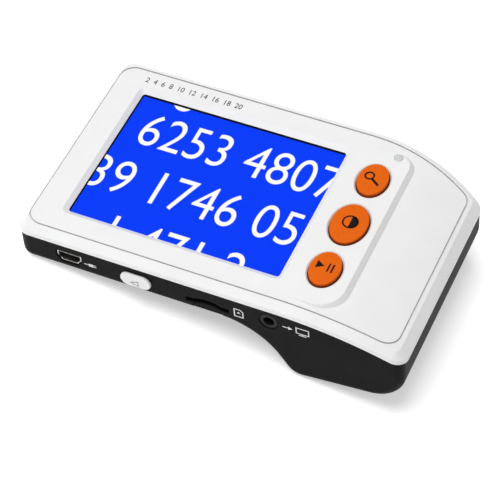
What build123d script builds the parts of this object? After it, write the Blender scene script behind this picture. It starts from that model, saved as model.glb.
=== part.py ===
from build123d import *
from math import asin, cos, degrees, radians, sin, sqrt, tan
import os

# Hand-held video magnifier with a 3.5 inch, 4:3 screen of 70.08 x 52.56. Millimetres.
# +Z up out of the screen, +X from the thin screen end to the deep grip end, -Y to the sockets' side.
# Everything is drawn from the screen's centre and moved to the base's centre when it is saved.

# ---------------------------------------------------------------- driving dimensions
# Outline at the parting line between the white and the black casing
LEFT_X, RIGHT_X = -48.0, 79.7
HALF_WIDTH = 38.5
SWEEP_X = 42.5             # the far side curves inward from here to the grip end
SWEEP_R = 69.15
CORNER_LEFT, CORNER_RIGHT = 4.6, 4.3

# Top surface: flat over the screen, then bent down towards the grip end
TOP_Z = 1.3
BEND_X = 38.0
BEND_R = 127.0
RIM_HEIGHT = 3.2           # from the top surface down to the parting line
RIM_SLOPE_IN, RIM_SLOPE_DOWN = 2.6, 1.8
RIM_LIP = 0.75
PARTING_Z = TOP_Z - RIM_HEIGHT

# Groove between the rim and the faceplate
GROOVE_LEFT, GROOVE_RIGHT = -45.6, 75.8
GROOVE_HALF = 35.35
GROOVE_R = 66.0
GROOVE_CORNERS = (5.0, 5.0, 4.5, 5.0)
GROOVE_WIDTH, GROOVE_DEPTH = 0.5, 0.55
PLATE_T = 1.5
SHELF_WIDTH = 2.75
PLATE_PLAY = 0.05          # around the faceplate where it sits in the rim

# Raised key area
RAISED_LEFT, RAISED_RIGHT = 20.0, 56.0
RAISED_NEAR, RAISED_FAR = -33.0, 31.0
RAISED_CORNER_NEAR, RAISED_CORNER_FAR = 8.0, 5.0
RAISED_SPREAD = 1.9        # its sides run out by this much, this far down

# Screen opening: bevelled from the top surface down to the window
OPEN_TOP_X, OPEN_TOP_Y = 73.6, 56.8
OPEN_LOW_X, OPEN_LOW_Y = 70.6, 53.1
OPEN_CORNER_TOP, OPEN_CORNER_LOW = 2.2, 1.0
WINDOW_X, WINDOW_Y, WINDOW_T, WINDOW_CORNER = 77.2, 61.0, 0.9, 1.4

# Rear casing
WALL = 1.8
REAR_INSET = 0.3           # the black casing stands in from the white rim
REAR_Y = HALF_WIDTH - REAR_INSET      # the black side walls stand at plus and minus this
BASE_Z = -13.0             # underside of the thin end
FLOOR_Z = BASE_Z + WALL
GRIP_LOW = (46.96, -30.19) # where the grip's underside starts
GRIP_RISE = 6.4            # degrees, the underside rises towards the grip end
GRIP_FRONT = 58.0          # degrees, slope of the grip's front wall
THROAT_X = 20.0            # where the throat's arc leaves the thin end's underside
THROAT_R, HEEL_R, TOE_R = 22.0, 6.0, 12.0
EDGE_R = 2.7

# Keys: centre y, half width in x, half length in y
KEY_X = 47.4
KEYS = {
    "zoom": (18.0, 4.78, 6.48),
    "colour": (-0.9, 5.73, 7.88),
    "freeze": (-19.7, 4.78, 6.48),
}
KEY_GAP = 0.35
KEY_TOP_Z = 2.3

# Near wall: sockets and slide knob
OPENING_BEVEL = 0.25       # around the holes in the wall
USB_X, USB_Z = -30.0, -7.5
USB_HALF, USB_WAIST, USB_LOW = (4.05, 2.0), (-0.3, -1.3), 2.9
USB_PLAY = 0.25
KNOB_X, KNOB_Z = -7.0, -7.3
KNOB_LENGTH, KNOB_HEIGHT = 10.2, 5.4
KNOB_TRAVEL = 2.0
CARD_X, CARD_Z = 16.6, -8.4
CARD_HALF, CARD_LEVEL, CARD_END = 7.0, 2.4, 2.6
JACK_X, JACK_Z = 36.7, -7.1
JACK_BORE_R, JACK_BORE_LENGTH = 1.8, 12.0
JACK_NOSE_R, JACK_HOLE_R = 2.85, 3.1

# Indicator
LED_X, LED_Y = 51.3, 29.6
LED_R, LED_PLAY, LED_LOW, LED_PROUD, LED_EDGE = 1.4, 0.06, -0.9, 0.12, 0.25
LAMP_LED_X, LAMP_LED_Y, LAMP_LED_T = 1.6, 0.8, 0.6

# Boards
MAIN_TOP, MAIN_T = -9.5, 1.0
MAIN_X, MAIN_Y = (-38.5, 41.5), (-35.3, -9.5)
KEYBOARD_TOP, KEYBOARD_T = -6.0, 1.0
KEYBOARD_X, KEYBOARD_Y = (41.3, 54.6), (-29.5, 31.6)

# Camera, looking straight down
CAM_X, CAM_Y = 0.0, 2.0
LAMP_OFFSET = 15.0

# Battery bay and its cover
CELL_R, CELL_LENGTH = 7.2, 50.0
CELL_Y = -1.2
CELLS_XZ = ((53.2, -19.0), (67.9, -17.4))
BAY_LEFT, BAY_RIGHT = 43.7, 76.6
BAY_NEAR, BAY_FAR = -28.6, 26.2
BAY_TOP, BAY_ROOF, BAY_WALL = -10.0, 1.0, 1.2
COVER_START = 50.2
COVER_NEAR, COVER_FAR = -27.4, 25.0
COVER_DEPTH = 4.2
COVER_GAP = 0.25
HOOKS_Y, HOOK_HALF, HOOK_REACH, HOOK_ROOT, HOOK_T = (-21.2, -1.2, 16.8), 3.0, 2.8, 0.8, 0.85
RIB_START, RIB_PITCH, RIB_WIDTH, RIB_HALF, RIB_DEPTH = 57.0, 2.4, 1.1, 10.0, 0.45
RIB_COUNT, HOOK_LIFT = 6, 0.15

# Case screws: x and y
THIN_SCREWS = ((-42.2, -31.0), (-42.2, 31.0))
GRIP_SCREWS = ((60.0, -32.7), (60.0, 30.3))
GRIP_SEAT_Z = -20.0
POST_R, BOSS_R, GRIP_BOSS_R = 2.0, 2.7, 3.0

# Finer dimensions
PLAY = 0.1                 # between neighbouring pieces
WALL_PAST = 0.5            # cuts through the wall go this much past it
KNOB_STAND = 0.12          # between the knob and the wall
TONGUE_IN, TONGUE_T, TONGUE_DOWN = 2.3, 1.0, 0.8
KEY_RIM, KEY_EDGE, KEY_DOME_R = 0.5, 0.3, 70.0
KEY_FLANGE, KEY_FLANGE_TOP, KEY_FLANGE_T, KEY_STEM_R = 0.8, -1.5, 0.8, 1.2
PLUNGER_TOP, PLUNGER_R, PLUNGER_T = -2.9, 1.6, 1.5
SWITCH_TOP, SWITCH_HALF, SWITCH_WELL = -3.6, 3.0, 1.6
KNOB_PROUD, STEM_X, STEM_Z = 0.9, 4.4, 1.9
STEM_PLAY, KNOB_EDGE, CLIP_HALF, CLIP_HALF_Z = 0.2, 0.4, 4.2, 1.7
CARD_RISE, CARD_SLOT_T, SCOOP_DEPTH, SCOOP_FLARE, SCOOP_DROP = 1.1, 1.5, 1.0, 0.8, 0.35
LCD_X, LCD_Y, LCD_T, LCD_TOP = 76.9, 63.9, 3.35, -0.95
LCD_SHEET, LCD_SHEET_FLOOR = 0.5, 0.3
GLASS_X, GLASS_Y, GLASS_T = 74.0, 60.0, 1.3
LIGHT_X, LIGHT_Y, LIGHT_T = 74.8, 62.0, 1.6
FLEX_T, FLEX_UNDER, FLEX_OVER = 0.2, 0.15, 1.1
CLIP_T = 0.6
SLIDER_BACK, SLIDER_LEFT, SLIDER_RIGHT = 1.3, 5.0, 4.0
SLIDER_BODY, SLIDER_HALF_X, SLIDER_HALF_Z, SLIDER_WELL = 3.6, 0.9, 0.8, 2.2
USB_BACK, USB_LENGTH, USB_SHEET, USB_PIN, USB_PITCH = 0.5, 9.15, 0.35, 0.32, 0.8
USB_FLOOR, USB_TONGUE_HALF, USB_TONGUE_TOP = 2.4, 2.4, 0.75
SOCKET_LENGTH, SOCKET_HALF, SOCKET_RAIL, SOCKET_SHEET, SOCKET_GAP = 14.5, 7.3, 1.4, 0.2, 0.3
RAIL_WIDTH, SOCKET_FLOOR, SOCKET_NOTCH_X, SOCKET_NOTCH_Y = 1.2, 0.45, 3.0, 4.0
JACK_BACK, JACK_HALF, JACK_LENGTH, JACK_BODY, JACK_PADS = 0.3, 3.3, 12.2, 5.1, (2.7, 9.2)
PAD_T, PAD_LENGTH, PAD_HEIGHT = 0.3, 1.4, 2.0
TIP, TIP_R, PLATE_HALF, PLATE_SHEET = 1.0, 2.7, 4.0, 0.4
COIL_R, COIL_PITCH, COIL_WIRE = 3.6, 0.8, 0.4
CAM_BOARD_Z, CAM_BOARD_T, CAM_BOARD_SIZE = -5.4, 1.0, 18.0
CAM_WINDOW_R, CAM_WINDOW_T, CAM_LEDGE = 5.6, 0.8, 1.2
SENSOR_SIZE, SENSOR_T = 6.8, 0.9
HOLDER_SIZE, HOLDER_T, HOLDER_R, HOLDER_LOW = 12.0, 2.2, 5.0, -10.4
BARREL_R, BARREL_BORE, BARREL_LOW, LENS_LOW, LENS_DOME_R = 4.0, 2.6, -11.0, -10.2, 4.4
LAMP_BOARD_Z, LAMP_BOARD_T, LAMP_BOARD_X, LAMP_BOARD_Y = -8.9, 0.8, 40.0, 18.0
LAMP_X, LAMP_Y, LAMP_CORNER = 6.0, 5.0, 1.0
LAMP_CHIP_X, LAMP_CHIP_Y, LAMP_CHIP_T = 3.6, 3.0, 1.2
SCREW_R, HEAD_R, HEAD_T = 1.0, 1.9, 1.3
SMALL_SCREW_R, SMALL_HEAD_R, SMALL_HEAD_T = 0.8, 1.5, 0.9
HEAD_PLAY, SHANK_PLAY, THREAD_PLAY = 0.3, 0.15, 0.02
MAIN_POST_R, KEYBOARD_POST_R = 2.2, 1.9
MAIN_SCREW_LENGTH, KEYBOARD_SCREW_LENGTH = 2.5, 3.2
CROSS_WIDTH = 0.35
THIN_SEAT_Z, THIN_BOSS_TOP, THIN_SCREW_TOP = -11.2, -7.0, -4.0
GRIP_BOSS_TOP, GRIP_SCREW_TOP = -12.1, -8.0
MAIN_SCREWS = ((-35.0, -12.5), (26.0, -17.5), (38.5, -11.8))
KEYBOARD_SCREWS = ((52.6, -27.2), (43.6, 26.0))

# Components on the main board: x, y, width, length, height
COMPONENTS = {
    "processor_chip": [(-4.0, -20.5, 12.0, 12.0, 1.3)],
    "memory_chip": [(8.5, -14.6, 8.0, 8.0, 1.0)],
    "power_chip": [(-30.5, -20.5, 5.0, 5.0, 0.9)],
    "crystal": [(-7.0, -12.2, 5.0, 3.2, 1.0)],
    "power_inductor": [(-24.5, -14.5, 5.2, 5.2, 2.6)],
    "lcd_connector": [(-18.0, -23.0, 9.0, 3.0, 1.0)],
    "key_connector": [(34.75, -16.5, 2.5, 8.0, 1.0)],
    "capacitors": [(-36.0 + 1.9 * k, -24.5, 1.2, 2.0, 1.2) for k in range(4)]
                  + [(16.0 + 2.4 * k, -12.0, 1.2, 2.0, 1.2) for k in range(5)],
}

BASE_DEPTH = 30.228         # the heel of the grip is the lowest point
KNOB_OVERHANG = KNOB_PROUD - REAR_INSET

# The saved origin: centre of the base of the whole object's box
BASE = Pos(-(LEFT_X + RIGHT_X) / 2, KNOB_OVERHANG / 2, BASE_DEPTH)

BIG = 60.0                  # past every face


# ---------------------------------------------------------------- helpers
def drop(x):
    """How far the bent top has fallen at x."""
    return BEND_R - sqrt(BEND_R ** 2 - (x - BEND_X) ** 2) if x > BEND_X else 0.0


def bent_edges(z, x_from, x_to):
    """The side view of a surface that follows the bend, z high before it."""
    sweep = degrees(asin((x_to - BEND_X) / BEND_R))
    flat = Line((x_from, z), (BEND_X, z))
    arc = CenterArc((BEND_X, z - BEND_R), BEND_R, 90, -sweep)
    return [flat, arc]


def bent_block(z_high, z_low, x_from=-90.0, x_to=110.0):
    """Everything between two heights, either of which may follow the bend."""
    upper = bent_edges(z_high, x_from, x_to)
    lower = bent_edges(z_low, x_from, x_to)
    ends = [Line(upper[0] @ 0, lower[0] @ 0), Line(upper[1] @ 1, lower[1] @ 1)]
    face = make_face(Curve() + upper + lower + ends)
    return extrude(Plane.XZ * face, amount=BIG, both=True)


def plan(left, right, half, sweep_r, corners, inset=0.0):
    """Outline seen from above; corners run near left, near right, far right, far left."""
    left, right, half, radius = left + inset, right - inset, half - inset, sweep_r - inset
    centre_y = half - radius
    swept_y = centre_y + sqrt(radius ** 2 - (right - SWEEP_X) ** 2)
    angle = degrees(asin((right - SWEEP_X) / radius))
    points = [(left, -half), (right, -half), (right, swept_y), (SWEEP_X, half), (left, half)]
    edges = [
        Line(points[0], points[1]),
        Line(points[1], points[2]),
        CenterArc((SWEEP_X, centre_y), radius, 90, -angle),
        Line(points[3], points[4]),
        Line(points[4], points[0]),
    ]
    face = make_face(Curve() + edges)
    for (x, y), corner in zip((points[0], points[1], points[2], points[4]), corners):
        if corner - inset > 0.2:
            vertex = face.vertices().sort_by_distance((x, y))[0]
            face = fillet(vertex, corner - inset)
    return face


def outer_plan(inset=0.0, right_corners=True):
    right = CORNER_RIGHT if right_corners else 0.0
    return plan(LEFT_X, RIGHT_X, HALF_WIDTH, SWEEP_R, (CORNER_LEFT, right, right, CORNER_LEFT), inset)


def groove_plan(inset=0.0):
    return plan(GROOVE_LEFT, GROOVE_RIGHT, GROOVE_HALF, GROOVE_R, GROOVE_CORNERS, inset)


def prism(face, z_low, z_high):
    return extrude(Pos(0, 0, z_low) * face, amount=z_high - z_low)


def block(x0, x1, y0, y1, z0, z1):
    return Pos((x0 + x1) / 2, (y0 + y1) / 2, (z0 + z1) / 2) * Box(x1 - x0, y1 - y0, z1 - z0)


def post(x, y, z0, z1, radius):
    return Pos(x, y, (z0 + z1) / 2) * Cylinder(radius, z1 - z0)


def across(x, z, y0, y1, radius):
    """A round bar along Y."""
    return Pos(x, (y0 + y1) / 2, z) * Rot(90, 0, 0) * Cylinder(radius, y1 - y0)


def wall_shape(face, y0, y1):
    """A face drawn in x and z, made solid from y0 to y1."""
    return Pos(0, y1, 0) * extrude(Plane.XZ * face, amount=y1 - y0)


def flex_strip(points, y0, y1):
    """A bent film: its side view follows the points, its width runs from y0 to y1."""
    return wall_shape(trace(Polyline(*points), line_width=FLEX_T), y0, y1)


def slab(x, y, size_x, size_y, z0, z1):
    """A block centred on x and y."""
    return Pos(x, y, (z0 + z1) / 2) * Box(size_x, size_y, z1 - z0)


def one(shape):
    """The largest solid of a cut, without crumbs."""
    return shape.solids().sort_by(SortBy.VOLUME)[-1]


def save(name, *shapes):
    solids = []
    for shape in shapes:
        solids.extend((BASE * shape).solids())
    body = solids[0] if len(solids) == 1 else Compound(children=solids)
    body.label = name
    export_step(body, f"parts/{name}.step")


# ---------------------------------------------------------------- casing surfaces
def grip_z(x):
    """Height of the grip's underside at x."""
    return GRIP_LOW[1] + (x - GRIP_LOW[0]) * tan(radians(GRIP_RISE))


def side_view(inset):
    """Side view of the body below the top, with the throat, heel and toe rounded."""
    slope, rise = tan(radians(GRIP_FRONT)), tan(radians(GRIP_RISE))
    # the front wall starts where the throat's arc ends
    front_x = THROAT_X + THROAT_R * sin(radians(GRIP_FRONT)) + inset / sin(radians(GRIP_FRONT))
    front_z = BASE_Z - THROAT_R * (1 - cos(radians(GRIP_FRONT)))
    base = BASE_Z + inset
    underside = grip_z(0.0) + inset / cos(radians(GRIP_RISE))
    left, right = LEFT_X + REAR_INSET + inset, RIGHT_X - REAR_INSET - inset
    knee = (front_x + (front_z - base) / slope, base)
    heel_x = (front_z + slope * front_x - underside) / (slope + rise)
    heel = (heel_x, underside + heel_x * rise)
    toe = (right, underside + right * rise)
    face = make_face(Polyline((left, 5), (left, base), knee, heel, toe, (right, 5), close=True))
    for point, radius in ((knee, THROAT_R + inset), (heel, HEEL_R - inset), (toe, TOE_R - inset)):
        face = fillet(face.vertices().sort_by_distance(point)[0], radius)
    return face


def lower_body(inset, edge_r):
    """The body under the rim, rounded along its lower edges and its two grip corners."""
    body = prism(outer_plan(REAR_INSET + inset, right_corners=False), -40, 4)
    body = body & wall_shape(side_view(inset), -BIG, BIG)
    left, right = LEFT_X + REAR_INSET + inset, RIGHT_X - REAR_INSET - inset

    def meets_underside(edge):
        middle, along = edge.position_at(0.5), edge.tangent_at(0.5)
        if middle.Z > 3.9:
            return False
        if middle.Z < BASE_Z + inset + 0.1 and middle.X < left + CORNER_LEFT:
            return True
        upright = abs(along.Z) > 0.99 and middle.X < right - 0.5
        return not upright and abs(along.Y) < 0.9

    return fillet([edge for edge in body.edges() if meets_underside(edge)], edge_r)


def cover_prism(grow):
    """The space of the battery cover, open to the right and below."""
    slide = Vector(cos(radians(GRIP_RISE)), sin(radians(GRIP_RISE)))
    up = Vector(-slide.Y, slide.X)
    corner = Vector(COVER_START, grip_z(COVER_START)) - slide * grow
    high, low, reach = up * (COVER_DEPTH + grow), up * -3.0, slide * 50.0
    points = [corner + low, corner + low + reach, corner + high + reach, corner + high]
    face = make_face(Polyline(*[(p.X, p.Y) for p in points], close=True))
    return wall_shape(face, COVER_NEAR - grow, COVER_FAR + grow)


def under_grip(x0, x1, y0, y1, height0, height1):
    """A block that lies along the grip's underside, between two heights above it."""
    turn = Pos(GRIP_LOW[0], 0, GRIP_LOW[1]) * Rot(0, -GRIP_RISE, 0)
    return turn * block(x0 - GRIP_LOW[0], x1 - GRIP_LOW[0], y0, y1, height0, height1)


# ---------------------------------------------------------------- openings in the near wall
def usb_outline(grow):
    """Socket outline in x and z: square above, narrowed below."""
    half, top = USB_HALF[0] + grow, USB_HALF[1] + grow
    low = USB_LOW + grow
    right = [(half, top), (half, USB_WAIST[0]), (low, USB_WAIST[1]), (low, -top)]
    left = [(-x, z) for x, z in reversed(right)]
    return make_face(Polyline(*right, *left, close=True))


def usb_hole():
    """The socket's opening with its bevel."""
    place = Plane.XZ.offset(REAR_Y)
    outer = place.offset(OPENING_BEVEL) * Pos(USB_X, USB_Z) * usb_outline(USB_PLAY + 2 * OPENING_BEVEL)
    inner = place.offset(-OPENING_BEVEL) * Pos(USB_X, USB_Z) * usb_outline(USB_PLAY)
    straight = Pos(USB_X, USB_Z) * usb_outline(USB_PLAY)
    return loft([outer, inner]) + wall_shape(straight, -REAR_Y - 1, -REAR_Y + WALL + WALL_PAST)


def jack_hole():
    cone = Pos(JACK_X, -REAR_Y, JACK_Z) * Rot(90, 0, 0) * Cone(
        JACK_HOLE_R, JACK_HOLE_R + 2 * OPENING_BEVEL, 2 * OPENING_BEVEL)
    return cone + across(JACK_X, JACK_Z, -REAR_Y - 1, -REAR_Y + WALL + WALL_PAST, JACK_HOLE_R)


def card_slot(grow):
    """The card slot: level ends and a raised middle."""
    half_t, foot = CARD_SLOT_T / 2 + grow, CARD_HALF - CARD_LEVEL
    end = RectangleRounded(CARD_END + 2 * grow, 2 * half_t, 0.5 + grow)
    ends = [Pos(side * (CARD_HALF - CARD_END / 2 + 0.1), 0) * end for side in (-1, 1)]
    lower = ThreePointArc((-foot, -half_t), (0, CARD_RISE - half_t), (foot, -half_t))
    upper = ThreePointArc((-foot, half_t), (0, CARD_RISE + half_t), (foot, half_t))
    sides = [Line(lower @ 0, upper @ 0), Line(lower @ 1, upper @ 1)]
    return Pos(CARD_X, CARD_Z) * (make_face(Curve() + [lower, upper] + sides) + ends)


def card_scoop():
    """The finger scoop: an arch from the slot's lower edge down to the underside."""
    low, foot = -CARD_SLOT_T / 2 - SCOOP_DROP, CARD_HALF - CARD_LEVEL
    under = BASE_Z - CARD_Z - 1
    arch = ThreePointArc((-foot, low), (0, low + CARD_RISE), (foot, low))
    sides = Polyline((foot, low), (foot + SCOOP_FLARE, under), (-foot - SCOOP_FLARE, under), (-foot, low))
    return Pos(CARD_X, CARD_Z) * make_face(Curve() + [arch, sides])


# ---------------------------------------------------------------- casings
def make_rear_casing(outer, cavity):
    shell = outer & bent_block(PARTING_Z, -BIG)
    shell = shell - cavity

    # battery bay: ceiling and four walls
    bay = block(BAY_LEFT - BAY_WALL, BAY_RIGHT + BAY_WALL, BAY_NEAR - BAY_WALL, BAY_FAR + BAY_WALL,
                -BIG, BAY_TOP + BAY_ROOF)
    bay = bay - block(BAY_LEFT, BAY_RIGHT, BAY_NEAR, BAY_FAR, -BIG, BAY_TOP)
    shell = shell + (bay & outer)
    shell = shell - cover_prism(COVER_GAP)

    # screw bosses
    for x, y in THIN_SCREWS:
        shell = shell + post(x, y, BASE_Z + 1, THIN_BOSS_TOP, BOSS_R)
    for x, y in GRIP_SCREWS:
        shell = shell + (post(x, y, -BIG, GRIP_BOSS_TOP, GRIP_BOSS_R) & outer)
    for x, y in MAIN_SCREWS:
        shell = shell + (post(x, y, -BIG, MAIN_TOP - MAIN_T, MAIN_POST_R) & outer)
    for x, y in KEYBOARD_SCREWS:
        shell = shell + post(x, y, BAY_TOP + BAY_ROOF / 2, KEYBOARD_TOP - KEYBOARD_T, KEYBOARD_POST_R)
    for x, y in THIN_SCREWS:
        shell = shell - post(x, y, BASE_Z - 1, THIN_SEAT_Z, HEAD_R + HEAD_PLAY)
        shell = shell - post(x, y, BASE_Z, THIN_BOSS_TOP + 1, SCREW_R + SHANK_PLAY)
    for x, y in GRIP_SCREWS:
        shell = shell - post(x, y, -BIG, GRIP_SEAT_Z, HEAD_R + HEAD_PLAY)
        shell = shell - post(x, y, -BIG, GRIP_BOSS_TOP + 1, SCREW_R + SHANK_PLAY)
    thread_r = SMALL_SCREW_R + THREAD_PLAY
    for x, y in MAIN_SCREWS:
        shell = shell - post(x, y, MAIN_TOP - MAIN_SCREW_LENGTH - 0.2, MAIN_TOP, thread_r)
    for x, y in KEYBOARD_SCREWS:
        shell = shell - post(x, y, KEYBOARD_TOP - KEYBOARD_SCREW_LENGTH - 0.2, KEYBOARD_TOP, thread_r)

    # near wall: sockets, knob slot, card slot with its scoop
    wall = (-REAR_Y - 1, -REAR_Y + WALL + WALL_PAST)
    shell = shell - usb_hole() - jack_hole()
    slot_left = KNOB_X - STEM_X / 2 - KNOB_TRAVEL - STEM_PLAY
    slot_right = KNOB_X + STEM_X / 2 + STEM_PLAY
    slot_half = STEM_Z / 2 + STEM_PLAY
    shell = shell - block(slot_left, slot_right, *wall, KNOB_Z - slot_half, KNOB_Z + slot_half)
    shell = shell - wall_shape(card_slot(0.0), *wall)
    shell = shell - wall_shape(card_slot(OPENING_BEVEL), wall[0], -REAR_Y + OPENING_BEVEL)
    shell = shell - wall_shape(card_scoop(), -REAR_Y - 3, -REAR_Y + SCOOP_DEPTH)

    # underside: camera window and the two lamp windows
    shell = shell - post(CAM_X, CAM_Y, BASE_Z - 1, BASE_Z + CAM_WINDOW_T + 0.05, CAM_WINDOW_R + PLAY)
    shell = shell - post(CAM_X, CAM_Y, BASE_Z - 1, FLOOR_Z + 1, CAM_WINDOW_R - CAM_LEDGE)
    for side in (-1, 1):
        outline = RectangleRounded(LAMP_X + 2 * PLAY, LAMP_Y + 2 * PLAY, LAMP_CORNER + PLAY)
        shell = shell - prism(Pos(CAM_X + side * LAMP_OFFSET, CAM_Y, 0) * outline, BASE_Z - 1, FLOOR_Z + 1)
    return one(shell)


def make_cover(outer, cavity):
    cover = one((outer - cavity) & cover_prism(0.0))
    # hooks that reach under the casing's edge
    for y in HOOKS_Y:
        near, far, top = y - HOOK_HALF, y + HOOK_HALF, WALL + HOOK_LIFT + HOOK_T
        root_end = COVER_START + HOOK_ROOT
        hook = under_grip(COVER_START - HOOK_REACH, root_end, near, far, WALL + HOOK_LIFT, top)
        root = under_grip(COVER_START + PLAY, root_end, near, far, WALL / 2, top)
        cover = cover + hook + root
    # shallow ribs for the thumb
    for index in range(RIB_COUNT):
        x = RIB_START + RIB_PITCH * index
        cover = cover - under_grip(x, x + RIB_WIDTH, CELL_Y - RIB_HALF, CELL_Y + RIB_HALF, -1, RIB_DEPTH)
    return one(cover)


def make_upper_casing():
    rim = prism(outer_plan(), -20, 10) & bent_block(TOP_Z, PARTING_Z)
    top = rim.faces().filter_by(GeomType.PLANE).sort_by(Axis.Z)[-1]
    near_edge = top.edges().sort_by(Axis.Y)[0]
    rim = chamfer(near_edge, RIM_SLOPE_IN, RIM_SLOPE_DOWN, reference=top)
    lip = [
        edge for edge in rim.edges()
        if abs(edge.position_at(0.5).Y + HALF_WIDTH) < 0.01
        and abs(edge.position_at(0.5).Z - TOP_Z + RIM_SLOPE_DOWN) < 0.05
    ]
    rim = fillet(lip, RIM_LIP)
    pocket = prism(groove_plan(-GROOVE_WIDTH / 2), -30, 20) & bent_block(BIG, TOP_Z - PLATE_T - PLATE_PLAY)
    rim = rim - pocket - prism(groove_plan(SHELF_WIDTH), -30, 20)
    tongue = prism(outer_plan(TONGUE_IN), -30, 20) - prism(outer_plan(TONGUE_IN + TONGUE_T), -30, 20)
    rim = rim + (tongue & bent_block(PARTING_Z + 0.3, PARTING_Z - TONGUE_DOWN))
    for x, y in THIN_SCREWS:
        rim = rim + post(x, y, THIN_BOSS_TOP + PLAY, PARTING_Z + 0.3, POST_R)
        rim = rim - post(x, y, THIN_BOSS_TOP - 1, THIN_SCREW_TOP + HEAD_PLAY, SCREW_R + THREAD_PLAY)
    for x, y in GRIP_SCREWS:
        rim = rim + post(x, y, GRIP_BOSS_TOP + PLAY, PARTING_Z - drop(x) + 0.3, POST_R + 0.2)
        rim = rim - post(x, y, GRIP_BOSS_TOP - 1, GRIP_SCREW_TOP + HEAD_PLAY, SCREW_R + THREAD_PLAY)
    return one(rim)


def raised_outline(grow):
    left, right, near, far = RAISED_LEFT - grow, RAISED_RIGHT + grow, RAISED_NEAR - grow, RAISED_FAR + grow
    face = make_face(Polyline((left, near), (right, near), (right, far), (left, far), close=True))
    for y, radius in ((near, RAISED_CORNER_NEAR), (far, RAISED_CORNER_FAR)):
        face = fillet(face.vertices().sort_by_distance((right, y))[0], radius + grow)
    return face


def screen_opening(z):
    """The bevelled screen opening at a height above the window."""
    share = z / TOP_Z
    x = OPEN_LOW_X + (OPEN_TOP_X - OPEN_LOW_X) * share
    y = OPEN_LOW_Y + (OPEN_TOP_Y - OPEN_LOW_Y) * share
    corner = OPEN_CORNER_LOW + (OPEN_CORNER_TOP - OPEN_CORNER_LOW) * share
    return Pos(0, 0, z) * RectangleRounded(x, y, corner)


def make_faceplate():
    top = prism(groove_plan(GROOVE_WIDTH / 2), -30, 20) & bent_block(TOP_Z, TOP_Z - GROOVE_DEPTH - 0.2)
    base = prism(groove_plan(PLATE_PLAY - GROOVE_WIDTH / 2), -30, 20)
    base = base & bent_block(TOP_Z - GROOVE_DEPTH, TOP_Z - PLATE_T)
    raised = loft([
        Pos(0, 0, TOP_Z) * raised_outline(0.0),
        Pos(0, 0, TOP_Z - RAISED_SPREAD) * raised_outline(RAISED_SPREAD),
    ])
    raised = raised & bent_block(BIG, TOP_Z - PLATE_T)
    plate = top + base + raised
    plate = plate - loft([screen_opening(0.0), screen_opening(TOP_Z + 0.4)])
    seat = RectangleRounded(WINDOW_X + 2 * PLAY, WINDOW_Y + 2 * PLAY, WINDOW_CORNER + PLAY)
    plate = plate - prism(seat, -10, 0.0)
    for y, half_x, half_y in KEYS.values():
        hole = Pos(KEY_X, y, 0) * Ellipse(half_x + KEY_GAP, half_y + KEY_GAP)
        plate = plate - prism(hole, -20, 20)
    plate = plate - post(LED_X, LED_Y, -20, 20, LED_R + LED_PLAY)
    rims = [
        edge for edge in plate.edges()
        if edge.is_closed and edge.length > 20 and abs(edge.position_at(0.5).Z - TOP_Z) < 0.01
    ]
    return one(chamfer(rims, KEY_RIM))


# ---------------------------------------------------------------- keys and knob
def make_key(y, half_x, half_y):
    key = prism(Pos(KEY_X, y, 0) * Ellipse(half_x, half_y), KEY_FLANGE_TOP - KEY_FLANGE_T / 2, KEY_TOP_Z + 1)
    key = key & (Pos(KEY_X, y, KEY_TOP_Z - KEY_DOME_R) * Rot(0, 90, 0) * Sphere(KEY_DOME_R))
    crown = key.edges().sort_by(lambda edge: edge.position_at(0.5).Z)[-1]
    key = fillet(crown, KEY_EDGE)
    flange = Pos(KEY_X, y, 0) * Ellipse(half_x + KEY_FLANGE, half_y + KEY_FLANGE)
    key = key + prism(flange, KEY_FLANGE_TOP - KEY_FLANGE_T, KEY_FLANGE_TOP)
    return one(key + post(KEY_X, y, PLUNGER_TOP, KEY_FLANGE_TOP - KEY_FLANGE_T / 2, KEY_STEM_R))


def make_switch(y):
    body = slab(KEY_X, y, 2 * SWITCH_HALF, 2 * SWITCH_HALF, KEYBOARD_TOP, SWITCH_TOP)
    return body - post(KEY_X, y, SWITCH_TOP - SWITCH_WELL, SWITCH_TOP + 1, PLUNGER_R + PLAY)


def save_keys():
    for name, (y, half_x, half_y) in KEYS.items():
        save(f"{name}_key", make_key(y, half_x, half_y))
        save(f"{name}_switch", make_switch(y))
        save(f"{name}_plunger", post(KEY_X, y, PLUNGER_TOP - PLUNGER_T, PLUNGER_TOP, PLUNGER_R))


def make_knob():
    face = Pos(KNOB_X, KNOB_Z) * SlotOverall(KNOB_LENGTH, KNOB_HEIGHT)
    knob = wall_shape(face, -REAR_Y - KNOB_PROUD, -REAR_Y - KNOB_STAND)
    knob = fillet(knob.faces().sort_by(Axis.Y)[0].edges(), KNOB_EDGE)
    inner = -REAR_Y + WALL + PLAY
    stem = block(KNOB_X - STEM_X / 2, KNOB_X + STEM_X / 2, -REAR_Y - 0.5, inner + 0.5,
                 KNOB_Z - STEM_Z / 2, KNOB_Z + STEM_Z / 2)
    clip = block(KNOB_X - CLIP_HALF, KNOB_X + CLIP_HALF, inner, inner + CLIP_T,
                 KNOB_Z - CLIP_HALF_Z, KNOB_Z + CLIP_HALF_Z)
    return one(knob + stem + clip)


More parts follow.
